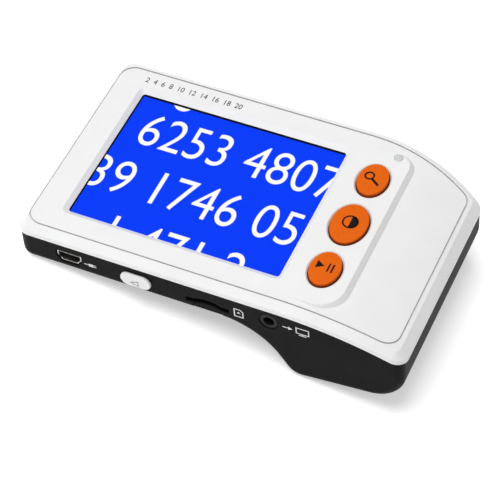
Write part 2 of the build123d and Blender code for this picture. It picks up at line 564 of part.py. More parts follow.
def save_slide_switch():
    save("power_knob", make_knob())
    front = -REAR_Y + WALL + SLIDER_BACK
    body = block(KNOB_X - SLIDER_LEFT, KNOB_X + SLIDER_RIGHT, front, front + SLIDER_BODY,
                 MAIN_TOP, MAIN_TOP + SLIDER_BODY)
    half_x, half_z = SLIDER_HALF_X + STEM_PLAY, SLIDER_HALF_Z + STEM_PLAY
    body = body - block(KNOB_X - half_x - KNOB_TRAVEL, KNOB_X + half_x, front - 1, front + SLIDER_WELL,
                        KNOB_Z - half_z, KNOB_Z + half_z)
    save("slide_switch", body)
    lever = block(KNOB_X - SLIDER_HALF_X, KNOB_X + SLIDER_HALF_X, -REAR_Y + WALL + PLAY + CLIP_T,
                  front + SLIDER_WELL - 2 * PLAY, KNOB_Z - SLIDER_HALF_Z, KNOB_Z + SLIDER_HALF_Z)
    save("slide_switch_lever", lever)


# ---------------------------------------------------------------- sockets
def save_usb():
    front = -REAR_Y + USB_BACK
    back = front + USB_LENGTH
    place = Pos(USB_X, 0, USB_Z)
    shell = wall_shape(usb_outline(0.0), front, back)
    shell = shell - wall_shape(usb_outline(-USB_SHEET), front - 1, back - USB_FLOOR)
    save("usb_shell", place * one(shell))
    end = back - USB_FLOOR - 0.2
    tongue = block(-USB_TONGUE_HALF, USB_TONGUE_HALF, front + 0.9, end, -PLAY, USB_TONGUE_TOP)
    save("usb_tongue", place * tongue)
    pins = [
        place * block(x - USB_PIN / 2, x + USB_PIN / 2, front + 1.4, end, -2 * PLAY, -PLAY)
        for x in (k * USB_PITCH for k in range(-2, 3))
    ]
    save("usb_pins", *pins)


def save_card_socket():
    front = -REAR_Y + WALL + SOCKET_GAP
    back, half = front + SOCKET_LENGTH, SOCKET_HALF
    rail_top = MAIN_TOP + SOCKET_RAIL
    base = block(CARD_X - half, CARD_X + half, front, back, MAIN_TOP, MAIN_TOP + SOCKET_FLOOR)
    base = base + block(CARD_X - half, CARD_X + half, back - RAIL_WIDTH, back, MAIN_TOP, rail_top)
    for side in (-1, 1):
        edge = CARD_X + side * (half - RAIL_WIDTH / 2)
        base = base + block(edge - RAIL_WIDTH / 2, edge + RAIL_WIDTH / 2, front, back, MAIN_TOP, rail_top)
    save("card_socket_base", base)
    wide = half + SOCKET_SHEET
    cover = block(CARD_X - wide, CARD_X + wide, front, back, MAIN_TOP + SOCKET_SHEET, rail_top + SOCKET_SHEET)
    room = half + THREAD_PLAY
    cover = cover - block(CARD_X - room, CARD_X + room, front - 1, back + 1, MAIN_TOP, rail_top + THREAD_PLAY)
    cover = cover - block(CARD_X - SOCKET_NOTCH_X, CARD_X + SOCKET_NOTCH_X, back - SOCKET_NOTCH_Y, back + 1,
                          MAIN_TOP, rail_top + 1)
    save("card_socket_cover", one(cover))


def save_jack():
    inner = -REAR_Y + WALL + PLAY
    front = -REAR_Y + JACK_BACK
    body = block(JACK_X - JACK_HALF, JACK_X + JACK_HALF, inner, inner + JACK_LENGTH,
                 MAIN_TOP, MAIN_TOP + JACK_BODY)
    body = body + across(JACK_X, JACK_Z, front, inner + 0.2, JACK_NOSE_R)
    body = body - across(JACK_X, JACK_Z, front - 1, front + JACK_BORE_LENGTH, JACK_BORE_R)
    save("tv_jack", one(body))
    reach = JACK_HALF + PAD_T / 2
    pads = [
        slab(JACK_X + side * reach, inner + y, PAD_T, PAD_LENGTH, MAIN_TOP, MAIN_TOP + PAD_HEIGHT)
        for side in (-1, 1) for y in JACK_PADS
    ]
    save("tv_jack_terminals", *pads)


# ---------------------------------------------------------------- display and boards
def save_display():
    outline = RectangleRounded(WINDOW_X, WINDOW_Y, WINDOW_CORNER)
    save("display_window", prism(outline, -WINDOW_T, -0.02))
    save("lcd_glass", slab(0, 0, GLASS_X, GLASS_Y, LCD_TOP - GLASS_T, LCD_TOP))
    light_top = LCD_TOP - GLASS_T - 0.05
    save("lcd_backlight", slab(0, 0, LIGHT_X, LIGHT_Y, light_top - LIGHT_T, light_top))
    low = LCD_TOP - LCD_T
    tray = slab(0, 0, LCD_X, LCD_Y, low, LCD_TOP)
    tray = tray - slab(0, 0, LCD_X - 2 * LCD_SHEET, LCD_Y - 2 * LCD_SHEET, low + LCD_SHEET_FLOOR, LCD_TOP + 1)
    save("lcd_frame", tray)
    under, over = low - FLEX_UNDER, MAIN_TOP + FLEX_OVER
    points = [(-20.0, under), (-26.0, under), (-28.0, -7.0), (-26.0, over), (-24.0, over)]
    save("lcd_flex", Rot(0, 0, 90) * flex_strip(points, 14.0, 22.0))


def save_boards():
    board = block(*MAIN_X, *MAIN_Y, MAIN_TOP - MAIN_T, MAIN_TOP)
    for x, y in MAIN_SCREWS:
        board = board - post(x, y, -20, 0, SMALL_SCREW_R + PLAY)
    board = board - post(*THIN_SCREWS[0], -20, 0, BOSS_R + 0.4)
    save("main_board", one(board))
    keyboard = block(*KEYBOARD_X, *KEYBOARD_Y, KEYBOARD_TOP - KEYBOARD_T, KEYBOARD_TOP)
    for x, y in KEYBOARD_SCREWS:
        keyboard = keyboard - post(x, y, -20, 0, SMALL_SCREW_R + PLAY)
    save("key_board", keyboard)
    under, over = KEYBOARD_TOP - KEYBOARD_T - FLEX_UNDER, MAIN_TOP + FLEX_OVER
    save("key_flex", flex_strip([(42.0, under), (39.5, under), (37.0, over), (34.0, over)], -20.0, -13.0))
    for name, boxes in COMPONENTS.items():
        save(name, *[slab(x, y, width, length, MAIN_TOP, MAIN_TOP + height)
                     for x, y, width, length, height in boxes])


def save_indicator():
    """The lens in the faceplate and its lamp on the key board."""
    lens = post(LED_X, LED_Y, LED_LOW, TOP_Z + LED_PROUD, LED_R)
    save("indicator_lens", fillet(lens.edges().sort_by(Axis.Z)[-1], LED_EDGE))
    lamp = slab(LED_X, LED_Y, LAMP_LED_X, LAMP_LED_Y, KEYBOARD_TOP, KEYBOARD_TOP + LAMP_LED_T)
    save("indicator_lamp", lamp)


# ---------------------------------------------------------------- camera and its lamps
def save_camera():
    """From the sensor board down to the window."""
    under = CAM_BOARD_Z - CAM_BOARD_T
    save("camera_board", slab(CAM_X, CAM_Y, CAM_BOARD_SIZE, CAM_BOARD_SIZE, under, CAM_BOARD_Z))
    save("image_sensor", slab(CAM_X, CAM_Y, SENSOR_SIZE, SENSOR_SIZE, under - SENSOR_T, under))
    holder = slab(CAM_X, CAM_Y, HOLDER_SIZE, HOLDER_SIZE, under - HOLDER_T, under)
    holder = holder + post(CAM_X, CAM_Y, HOLDER_LOW, under - 2.0, HOLDER_R)
    holder = holder - slab(CAM_X, CAM_Y, SENSOR_SIZE + 0.8, SENSOR_SIZE + 0.8, under - 1.3, under + 1)
    holder = holder - post(CAM_X, CAM_Y, -12, under - 1.0, BARREL_R + THREAD_PLAY)
    save("lens_holder", one(holder))
    barrel = post(CAM_X, CAM_Y, BARREL_LOW, under - 1.5, BARREL_R)
    barrel = barrel - post(CAM_X, CAM_Y, -12, under, BARREL_BORE)
    barrel = barrel - Pos(CAM_X, CAM_Y, BARREL_LOW + 0.2) * Cone(BARREL_BORE + 0.8, BARREL_BORE, 0.8)
    save("lens_barrel", one(barrel))
    lens = post(CAM_X, CAM_Y, LENS_LOW, under - 2.0, BARREL_BORE - THREAD_PLAY)
    save("camera_lens", one(lens & (Pos(CAM_X, CAM_Y, LENS_LOW + 4.0) * Sphere(LENS_DOME_R))))
    save("camera_window", post(CAM_X, CAM_Y, BASE_Z + 0.05, BASE_Z + CAM_WINDOW_T, CAM_WINDOW_R))
    film, over = under - FLEX_UNDER, MAIN_TOP + FLEX_OVER
    points = [(-7.6, film), (-10.0, film), (-12.2, -7.6), (-12.2, over), (-14.5, over)]
    save("camera_flex", Rot(0, 0, 90) * flex_strip(points, -3.5, 3.5))


def save_lamps():
    under = LAMP_BOARD_Z - LAMP_BOARD_T
    board = slab(CAM_X, CAM_Y, LAMP_BOARD_X, LAMP_BOARD_Y, under, LAMP_BOARD_Z)
    save("lamp_board", board - slab(CAM_X, CAM_Y, HOLDER_SIZE + 1.2, HOLDER_SIZE + 1.2, -12, 0))
    places = [CAM_X + side * LAMP_OFFSET for side in (-1, 1)]
    outline = RectangleRounded(LAMP_X, LAMP_Y, LAMP_CORNER)
    save("lamps", *[slab(x, CAM_Y, LAMP_CHIP_X, LAMP_CHIP_Y, under - LAMP_CHIP_T, under) for x in places])
    save("lamp_windows", *[prism(Pos(x, CAM_Y) * outline, BASE_Z + 0.05, FLOOR_Z - 0.1) for x in places])


# ---------------------------------------------------------------- battery
def save_battery():
    """Two cells side by side, turned opposite ways, each between a plate and a spring."""
    cells, plates, springs = [], [], []
    half = CELL_LENGTH / 2
    for (x, z), turned in zip(CELLS_XZ, (0, 180)):
        # drawn with the tip towards +Y, then turned about the bay's middle
        place = Pos(x, CELL_Y, z) * Rot(0, 0, turned)
        room = BAY_FAR - CELL_Y - 0.05
        cell = across(0, 0, -half, half - TIP, CELL_R) + across(0, 0, half - TIP, half, TIP_R)
        plate = block(-PLATE_HALF, PLATE_HALF, room - PLATE_SHEET, room, -PLATE_HALF, PLATE_HALF)
        cells.append(place * cell)
        plates.append(place * plate)
        for k in range(3):
            start = -room + k * COIL_PITCH
            ring = across(0, 0, start, start + COIL_WIRE, COIL_R - 0.5 * k)
            springs.append(place * (ring - across(0, 0, start - 1, start + 1, COIL_R - 0.5 * k - 1.0)))
    save("battery_cells", *cells)
    save("contact_plates", *plates)
    save("contact_springs", *springs)


# ---------------------------------------------------------------- screws
def screw(x, y, seat, tip, radius, head_r, head_h):
    """A pan-head screw with a cross recess; its head lies on the seat's side away from the tip."""
    up = 1 if seat > tip else -1
    shank = post(x, y, *sorted((seat, tip)), radius)
    head = post(x, y, *sorted((seat, seat + up * head_h)), head_r)
    outside = head.faces().sort_by(Axis.Z)[-1 if up > 0 else 0]
    head = fillet(outside.edges(), head_h * 0.4)
    recess = sorted((seat + up * head_h * 0.35, seat + up * (head_h + 1)))
    for size_x, size_y in ((head_r * 1.1, CROSS_WIDTH), (CROSS_WIDTH, head_r * 1.1)):
        head = head - slab(x, y, size_x, size_y, *recess)
    return one(shank + head)


def save_screws():
    case = [(x, y, THIN_SEAT_Z, THIN_SCREW_TOP) for x, y in THIN_SCREWS]
    case += [(x, y, GRIP_SEAT_Z, GRIP_SCREW_TOP) for x, y in GRIP_SCREWS]
    save("case_screws", *[screw(*place, SCREW_R, HEAD_R, HEAD_T) for place in case])
    board = [(x, y, MAIN_TOP, MAIN_TOP - MAIN_SCREW_LENGTH) for x, y in MAIN_SCREWS]
    board += [(x, y, KEYBOARD_TOP, KEYBOARD_TOP - KEYBOARD_SCREW_LENGTH) for x, y in KEYBOARD_SCREWS]
    save("board_screws", *[screw(*place, SMALL_SCREW_R, SMALL_HEAD_R, SMALL_HEAD_T) for place in board])


def main():
    os.makedirs("parts", exist_ok=True)
    outer = lower_body(0.0, EDGE_R)
    cavity = lower_body(WALL, EDGE_R - WALL)
    save("rear_casing", make_rear_casing(outer, cavity))
    save("battery_cover", make_cover(outer, cavity))
    save("upper_casing", make_upper_casing())
    save("faceplate", make_faceplate())
    save_keys()
    save_slide_switch()
    save_usb()
    save_card_socket()
    save_jack()
    save_display()
    save_boards()
    save_indicator()
    save_camera()
    save_lamps()
    save_battery()
    save_screws()


if __name__ == "__main__":
    main()
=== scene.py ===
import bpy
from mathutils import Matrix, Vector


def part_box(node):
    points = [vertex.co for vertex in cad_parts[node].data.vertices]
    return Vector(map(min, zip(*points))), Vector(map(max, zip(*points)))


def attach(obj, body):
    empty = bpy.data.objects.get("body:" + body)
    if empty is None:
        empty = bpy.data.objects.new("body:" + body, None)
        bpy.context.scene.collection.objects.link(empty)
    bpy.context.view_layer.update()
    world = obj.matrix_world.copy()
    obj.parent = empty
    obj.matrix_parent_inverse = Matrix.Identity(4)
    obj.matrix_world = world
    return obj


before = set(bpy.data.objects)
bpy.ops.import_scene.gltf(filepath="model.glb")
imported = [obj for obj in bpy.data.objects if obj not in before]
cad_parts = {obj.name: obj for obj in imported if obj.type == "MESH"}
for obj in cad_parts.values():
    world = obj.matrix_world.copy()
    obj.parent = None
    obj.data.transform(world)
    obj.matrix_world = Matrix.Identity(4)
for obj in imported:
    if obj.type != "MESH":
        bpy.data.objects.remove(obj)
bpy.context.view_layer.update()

from math import cos, pi, radians, sin

import bmesh
import bpy
from mathutils import Matrix, Vector

# A hand-held video magnifier. Metres, +Z up out of the screen, +X towards the deep grip end,
# -Y the side with the sockets. Places come from the boxes of the CAD nodes.

MM = 0.001
INK = 0.03 * MM            # how far a print stands out of its surface
INK_ROOT = 0.12 * MM       # how deep it starts below it
KEY_INK = 0.02 * MM        # the same on a key's crown

# the lit picture: a hair wider than the active area of a 3.5 inch, 4:3 panel, and its rows of
# large numerals; all heights are shares of the gap between the panel and the window
PICTURE = (70.3 * MM, 52.8 * MM)
SHEET_LOW, SHEET_HIGH = 0.10, 0.45
DIGIT_LOW, DIGIT_THICK = 0.50, 0.35
DIGIT_HEIGHT = 14.2 * MM
CAP_SHARE = 0.729          # numeral height as a share of the font's size
DIGIT_THIN, DIGIT_NARROW = 0.10 * MM, 0.82
DIGIT_ROWS = (
    # left end, baseline, numerals
    (-25.5, 24.9, "8"),
    (-30.2, 7.3, "6253 4807"),
    (-38.2, -14.0, "39 1746 058"),
    (-24.0, -35.2, "1 471 2"),
)

# row of small numerals above the screen: its text, its height and length, and where it starts
CAPTION = "2  4  6  8  10  12  14  16  18  20"
CAPTION_HEIGHT, CAPTION_LENGTH = 2.2 * MM, 34.0 * MM
CAPTION_X, CAPTION_Y = -36.7 * MM, 30.5 * MM

# prints on the near wall, measured from the socket beside them, and the jack's nose
USB_PRINT_X = 0.6 * MM
CARD_PRINT_X, CARD_PRINT_Z = -9.7 * MM, -0.4 * MM
MONITOR_PRINT_X, MONITOR_PRINT_Z = 4.6 * MM, 0.2 * MM
JACK_NOSE = 2.85 * MM

# window: share of gloss seen straight on, and the rise of it at a glancing angle
GLOSS_LEAST, GLOSS_RISE = 0.004, 0.6

MITRE_LEAST = 0.35         # sharp corners of a stroke are not drawn out further than this allows

# camera: where it stands and how it is turned
CAMERA_PLACE = Vector((0.19540, -0.37774, 0.518178))
CAMERA_RIGHT = Vector((0.91132, 0.40841, -0.05190))
CAMERA_UP = Vector((-0.28516, 0.71711, 0.63595))
LENS, SENSOR = 151.96, 36.0

# floor: the magnifier rests on its heel and on the thin end's edge, so the floor slopes under it
FLOOR_NORMAL = Vector((0.1862, 0.0, 0.9825)).normalized()
FLOOR_TOUCH = Vector((29.32, 0.0, 0.10)) * MM
FLOOR_RADIUS = 2.5
FLOOR_GLOW = 0.45          # the sweep is lit from below, so shadows on it stay faint

# studio: strength of the surroundings at either side, and the key light's place, size and power
WORLD_LEFT, WORLD_RIGHT = 0.37, 0.27
KEY_PLACE, KEY_AIM = Vector((-0.12, -0.16, 1.15)), Vector((0, 0, 0.02))
KEY_SIZE, KEY_POWER = 0.9, 12.9

scene = bpy.context.scene


# ---------------------------------------------------------------- procedural finishes
class Finish:
    """A procedural material: one Principled shader, with patterns worked from object coordinates."""

    def __init__(self, name, metallic=0.0, specular=0.5, coat=0.0):
        self.material = bpy.data.materials.new(name)
        self.material.use_nodes = True
        self.tree = self.material.node_tree
        self.shader = self.tree.nodes["Principled BSDF"]
        self.shader.inputs["Metallic"].default_value = metallic
        self.shader.inputs["Specular IOR Level"].default_value = specular
        self.shader.inputs["Coat Weight"].default_value = coat
        self.place = self.add("ShaderNodeTexCoord").outputs["Object"]

    def add(self, kind, inputs=(), **settings):
        """A node, its settings, and its inputs by name or number: a value or a socket."""
        node = self.tree.nodes.new(kind)
        for name, value in settings.items():
            setattr(node, name, value)
        for name, value in dict(inputs).items():
            self.feed(node.inputs[name], value)
        return node

    def feed(self, socket, value):
        if isinstance(value, bpy.types.NodeSocket):
            self.tree.links.new(value, socket)
        else:
            socket.default_value = value

    def noise(self, size, detail=2.0, stretch=(1, 1, 1)):
        """Noise whose grains are about a size across, in metres."""
        place = self.add("ShaderNodeMapping", {"Vector": self.place, "Scale": stretch}).outputs[0]
        inputs = {"Vector": place, "Scale": 1 / size, "Detail": detail}
        return self.add("ShaderNodeTexNoise", inputs).outputs["Fac"]

    def cells(self, size):
        """Distance to the nearest of scattered points, about a size apart."""
        return self.add("ShaderNodeTexVoronoi", {"Vector": self.place, "Scale": 1 / size}).outputs["Distance"]

    def span(self, value, low, high, to_low=0.0, to_high=1.0):
        """value from low to high, carried to the new range and held there."""
        inputs = {0: value, 1: low, 2: high, 3: to_low, 4: to_high}
        return self.add("ShaderNodeMapRange", inputs).outputs[0]

    def maths(self, operation, a, b=0.0):
        return self.add("ShaderNodeMath", {0: a, 1: b}, operation=operation).outputs[0]

    def blend(self, share, first, second):
        """The first colour where share is 0 and the second where it is 1."""
        node = self.add("ShaderNodeMix", data_type="RGBA")
        for socket, value in zip((node.inputs[0], node.inputs[6], node.inputs[7]), (share, first, second)):
            self.feed(socket, value)
        return node.outputs[2]

    def crevice(self, reach):
        """1 in the open, less in grooves and inner corners within a reach."""
        return self.add("ShaderNodeAmbientOcclusion", {"Distance": reach}, samples=8).outputs["AO"]

    def edge(self, radius):
        """0 on flat ground, rising to 1 on outer and inner edges within a radius."""
        soft = self.add("ShaderNodeBevel", {"Radius": radius}, samples=4).outputs[0]
        true = self.add("ShaderNodeNewGeometry").outputs["Normal"]
        together = self.add("ShaderNodeVectorMath", {0: soft, 1: true}, operation="DOT_PRODUCT")
        return self.span(together.outputs["Value"], 0.99, 0.8)

    def axis(self, index):
        return self.add("ShaderNodeSeparateXYZ", {0: self.place}).outputs[index]

    def relief(self, *layers):
        """Bump from pairs of a height pattern and its depth in metres."""
        normal = None
        for height, depth in layers:
            node = self.add("ShaderNodeBump", {"Height": height, "Distance": depth})
            if normal:
                self.feed(node.inputs["Normal"], normal)
            normal = node.outputs[0]
        self.feed(self.shader.inputs["Normal"], normal)

    def finish(self, colour, roughness):
        self.feed(self.shader.inputs["Base Color"], colour)
        self.feed(self.shader.inputs["Roughness"], roughness)
        return self.material


def grey(level):
    return (level, level, level, 1.0)


def white_shell():
    """Glossy white moulded plastic: faint mould texture, handling haze, painted shade darkening the grooves.
    """
    made = Finish("white_moulding", specular=0.35)
    haze = made.noise(9 * MM, 4.0)
    clean = made.blend(made.span(haze, 0.35, 0.7), (0.765, 0.767, 0.768, 1), (0.745, 0.746, 0.743, 1))
    # painted shade: the colour is darkened towards grey in grooves and inner corners, where less light
    # reaches
    groove_shade = made.span(made.crevice(0.9 * MM), 0.45, 0.98, 1.0, 0.0)
    colour = made.blend(made.maths("MULTIPLY", groove_shade, 0.5), clean, (0.42, 0.42, 0.41, 1))
    smudge = made.span(made.noise(5 * MM, 5.0), 0.4, 0.65, 0.30, 0.40)
    made.relief((made.noise(0.35 * MM, 2.0), 0.004 * MM), (made.noise(3 * MM, 1.0), 0.010 * MM))
    return made.finish(colour, smudge)


def black_shell():
    """Satin black moulding with a spark-eroded grain, rubbed smoother along its edges, where a lighter
    painted sheen is laid on the colour.
    """
    made = Finish("black_moulding", specular=0.04)
    rubbed_and_sheen = made.edge(0.5 * MM)
    patch = made.span(made.noise(6 * MM, 4.0), 0.35, 0.7)
    ground = made.blend(patch, grey(0.0042), grey(0.0068))
    # painted sheen: the colour is made lighter along edges, as if they caught the light; the roughness below
    # is lowered there for the rubbing
    colour = made.blend(made.maths("MULTIPLY", rubbed_and_sheen, 0.35), ground, grey(0.020))
    rough = made.span(made.noise(0.5 * MM, 3.0), 0.3, 0.7, 0.44, 0.54)
    rough = made.maths("SUBTRACT", rough, made.maths("MULTIPLY", rubbed_and_sheen, 0.10))
    made.relief((made.cells(0.28 * MM), 0.012 * MM), (made.noise(0.11 * MM, 2.0), 0.005 * MM))
    return made.finish(colour, rough)


def orange_key():
    """Orange key plastic: a slightly mottled dye, finely grained, with painted shade darkening it in its
    crevices.
    """
    made = Finish("orange_moulding", specular=0.07)
    mottle = made.span(made.noise(0.8 * MM, 3.0), 0.3, 0.7)
    dye = made.blend(mottle, (0.66, 0.106, 0.0035, 1), (0.70, 0.122, 0.0055, 1))
    # painted shade: darker in crevices and where the key's sides stand close to the hole's wall
    key_shade = made.span(made.crevice(0.8 * MM), 0.45, 0.95, 1.0, 0.0)
    colour = made.blend(made.maths("MULTIPLY", key_shade, 0.75), dye, (0.16, 0.012, 0.004, 1))
    rough = made.span(made.noise(2.2 * MM, 4.0), 0.35, 0.7, 0.36, 0.46)
    made.relief((made.noise(0.22 * MM, 2.0), 0.006 * MM))
    return made.finish(colour, rough)


def clear_window():
    """Clear acrylic: what is behind it shows, under a gloss that fine haze breaks up."""
    made = Finish("clear_acrylic")
    haze = made.span(made.noise(4 * MM, 5.0), 0.4, 0.75, 0.02, 0.09)
    gloss = made.add("ShaderNodeBsdfGlossy", {"Color": grey(1.0), "Roughness": haze}).outputs[0]
    through = made.add("ShaderNodeBsdfTransparent", {"Color": grey(0.985)}).outputs[0]
    tilt = made.add("ShaderNodeLayerWeight", {"Blend": 0.5}).outputs["Facing"]
    share = made.maths("MULTIPLY_ADD", made.maths("POWER", tilt, 5.0), GLOSS_RISE)
    share.node.inputs[2].default_value = GLOSS_LEAST
    both = made.add("ShaderNodeMixShader", {0: share, 1: through, 2: gloss}).outputs[0]
    made.tree.links.new(both, made.tree.nodes["Material Output"].inputs["Surface"])
    made.tree.nodes.remove(made.shader)
    return made.material


def milky_lens():
    """Milky plastic of the indicator: it scatters light and is polished on top."""
    made = Finish("milky_plastic", specular=0.5, coat=0.4)
    cloud = made.span(made.noise(0.9 * MM, 3.0), 0.3, 0.7)
    colour = made.blend(cloud, (0.60, 0.62, 0.61, 1), (0.52, 0.54, 0.54, 1))
    made.relief((made.noise(0.5 * MM, 2.0), 0.004 * MM))
    return made.finish(colour, made.span(cloud, 0.0, 1.0, 0.16, 0.24))


def lcd_panel():
    """Dark display glass with a fine anti-glare grain."""
    made = Finish("display_glass", specular=0.5)
    grain = made.noise(0.15 * MM, 2.0)
    colour = made.blend(made.noise(8 * MM), (0.006, 0.007, 0.010, 1), (0.010, 0.011, 0.015, 1))
    made.relief((grain, 0.002 * MM))
    return made.finish(colour, made.span(grain, 0.3, 0.7, 0.16, 0.26))


def white_film():
    made = Finish("diffuser_film", specular=0.4)
    dots = made.span(made.cells(0.9 * MM), 0.15, 0.35)
    colour = made.blend(dots, (0.80, 0.81, 0.80, 1), (0.88, 0.88, 0.87, 1))
    made.relief((made.noise(0.2 * MM, 2.0), 0.003 * MM))
    return made.finish(colour, made.span(made.noise(3 * MM, 3.0), 0.3, 0.7, 0.40, 0.52))


def sheet_steel():
    """Tin-plated sheet: rolled along X, a little dulled."""
    made = Finish("tinned_steel", metallic=1.0)
    rolled = made.noise(0.4 * MM, 3.0, stretch=(0.12, 1, 1))
    tarnish = made.span(made.noise(3 * MM, 4.0), 0.4, 0.75)
    colour = made.blend(tarnish, (0.54, 0.53, 0.51, 1), (0.42, 0.41, 0.38, 1))
    made.relief((rolled, 0.004 * MM))
    return made.finish(colour, made.span(rolled, 0.3, 0.7, 0.24, 0.40))


def circuit_board():
    """Green solder mask over copper tracks, with a scatter of plated holes."""
    made = Finish("solder_mask", specular=0.5)
    lanes = []
    for across, along in ((0, 1), (1, 0)):
        drift = made.maths("MULTIPLY", made.noise(6 * MM, 0.0), 6 * MM)
        line = made.maths("ADD", made.axis(across), drift)
        wave = made.maths("SINE", made.maths("MULTIPLY", line, 2 * pi / (0.9 * MM)))
        region = made.noise((4 + 2 * along) * MM, 0.0)
        lanes.append(made.maths("MULTIPLY", made.span(wave, 0.35, 0.5), made.span(region, 0.5, 0.52)))
    tracks = made.maths("MAXIMUM", *lanes)
    holes = made.span(made.cells(3.2 * MM), 0.10, 0.13, 1.0, 0.0)
    mask = made.blend(tracks, (0.004, 0.060, 0.020, 1), (0.012, 0.120, 0.040, 1))
    colour = made.blend(holes, mask, (0.62, 0.60, 0.52, 1))
    made.relief((tracks, 0.02 * MM), (made.noise(0.3 * MM), 0.003 * MM))
    return made.finish(colour, made.span(made.noise(2 * MM, 3.0), 0.3, 0.7, 0.28, 0.40))


def flex_film():
    """Amber polyimide with copper lines showing through."""
    made = Finish("polyimide_film", specular=0.5)
    wave = made.maths("SINE", made.maths("MULTIPLY", made.axis(0), 2 * pi / (0.8 * MM)))
    lines = made.span(wave, 0.2, 0.4)
    colour = made.blend(lines, (0.50, 0.20, 0.020, 1), (0.36, 0.12, 0.014, 1))
    made.relief((lines, 0.01 * MM), (made.noise(1.5 * MM, 2.0), 0.01 * MM))
    return made.finish(colour, made.span(made.noise(2 * MM, 3.0), 0.3, 0.7, 0.24, 0.36))


def gold_contact():
    made = Finish("gold_plating", metallic=1.0)
    worn = made.span(made.noise(0.6 * MM, 4.0), 0.45, 0.75)
    colour = made.blend(worn, (0.88, 0.62, 0.24, 1), (0.78, 0.60, 0.34, 1))
    made.relief((made.noise(0.2 * MM, 2.0), 0.002 * MM))
    return made.finish(colour, made.span(worn, 0.0, 1.0, 0.18, 0.34))


def black_part():
    """Glass-filled black plastic of sockets, switches and chips."""
    made = Finish("filled_plastic", specular=0.14)
    fibres = made.noise(0.25 * MM, 3.0)
    colour = made.blend(made.span(fibres, 0.35, 0.7), grey(0.006), grey(0.012))
    made.relief((fibres, 0.006 * MM))
    return made.finish(colour, made.span(fibres, 0.3, 0.7, 0.40, 0.56))


def pale_part():
    made = Finish("pale_nylon", specular=0.45)
    cloud = made.noise(1.4 * MM, 3.0)
    colour = made.blend(made.span(cloud, 0.3, 0.7), (0.76, 0.74, 0.66, 1), (0.68, 0.65, 0.56, 1))
    made.relief((made.noise(0.2 * MM, 2.0), 0.004 * MM))
    return made.finish(colour, made.span(cloud, 0.3, 0.7, 0.36, 0.48))


def capacitor_body():
    made = Finish("tan_ceramic", specular=0.5)
    fired = made.noise(0.3 * MM, 4.0)
    colour = made.blend(made.span(fired, 0.3, 0.7), (0.42, 0.27, 0.15, 1), (0.30, 0.18, 0.10, 1))
    made.relief((fired, 0.008 * MM))
    return made.finish(colour, made.span(fired, 0.3, 0.7, 0.30, 0.50))


def cell_jacket():
    """Shrink-wrapped cells: a dark jacket with a pale band near the positive end, bare metal tips."""
    low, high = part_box("battery_cells")
    middle, half = (low + high) / 2, (high.y - low.y) / 2
    made = Finish("cell_wrap", specular=0.5)
    side = made.span(made.maths("GREATER_THAN", made.axis(0), middle.x), 0.0, 1.0, 1.0, -1.0)
    along = made.maths("MULTIPLY", made.maths("SUBTRACT", made.axis(1), middle.y), side)
    share = made.maths("DIVIDE", along, half)
    band = made.maths("MULTIPLY", made.span(share, 0.46, 0.47), made.span(share, 0.72, 0.73, 1.0, 0.0))
    tip = made.span(share, 0.955, 0.960)
    foot = made.span(share, -0.995, -0.990, 1.0, 0.0)
    cloud = made.noise(5 * MM, 3.0)
    wrap = made.blend(cloud, (0.012, 0.040, 0.055, 1), (0.018, 0.055, 0.075, 1))
    wrap = made.blend(band, wrap, (0.60, 0.60, 0.58, 1))
    colour = made.blend(made.maths("MAXIMUM", tip, foot), wrap, (0.55, 0.54, 0.52, 1))
    made.relief((made.noise(1.2 * MM, 2.0), 0.01 * MM))
    return made.finish(colour, made.span(cloud, 0.3, 0.7, 0.22, 0.34))


def lit(name, colour, strength):
    """A glowing part of the picture, with the pixel grain of the display on its surface."""
    made = Finish(name, specular=0.0)
    grain = made.noise(0.2 * MM, 1.0)
    made.shader.inputs["Emission Color"].default_value = colour
    made.shader.inputs["Emission Strength"].default_value = strength
    made.relief((grain, 0.002 * MM))
    dim = tuple(0.04 * part for part in colour[:3]) + (1.0,)
    return made.finish(made.blend(grain, dim, grey(0.004)), made.span(grain, 0.3, 0.7, 0.4, 0.5))


def printed(name, colour, worn):
    """Screen-printed ink: matt, with small thin places."""
    made = Finish(name, specular=0.1)
    thin = made.span(made.noise(0.18 * MM, 3.0), 0.55, 0.75)
    made.relief((made.noise(0.1 * MM, 2.0), 0.003 * MM))
    ink = made.blend(made.maths("MULTIPLY", thin, 0.5), colour, worn)
    return made.finish(ink, made.span(thin, 0.0, 1.0, 0.5, 0.62))


FINISHES = {
    "white_shell": white_shell,
    "black_shell": black_shell,
    "orange_key": orange_key,
    "clear_window": clear_window,
    "lcd_panel": lcd_panel,
    "white_film": white_film,
    "sheet_steel": sheet_steel,
    "circuit_board": circuit_board,
    "flex_film": flex_film,
    "gold_contact": gold_contact,
    "black_part": black_part,
    "pale_part": pale_part,
    "capacitor_body": capacitor_body,
    "cell_jacket": cell_jacket,
}


def paint_nodes():
    """Every CAD node gets the finish of its slot; the indicator's lens is milky, not clear."""
    made = {name: build() for name, build in FINISHES.items()}
    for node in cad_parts.values():
        for slot in node.material_slots:
            slot.material = made[slot.material.name]
    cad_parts["indicator_lens"].material_slots[0].material = milky_lens()


# ---------------------------------------------------------------- flat shapes for prints
def ring_points(centre, radius, start=0.0, end=360.0, count=48):
    x, y = centre
    angles = [radians(start + (end - start) * k / count) for k in range(count + (abs(end - start) < 360))]
    return [(x + radius * cos(a), y + radius * sin(a)) for a in angles]


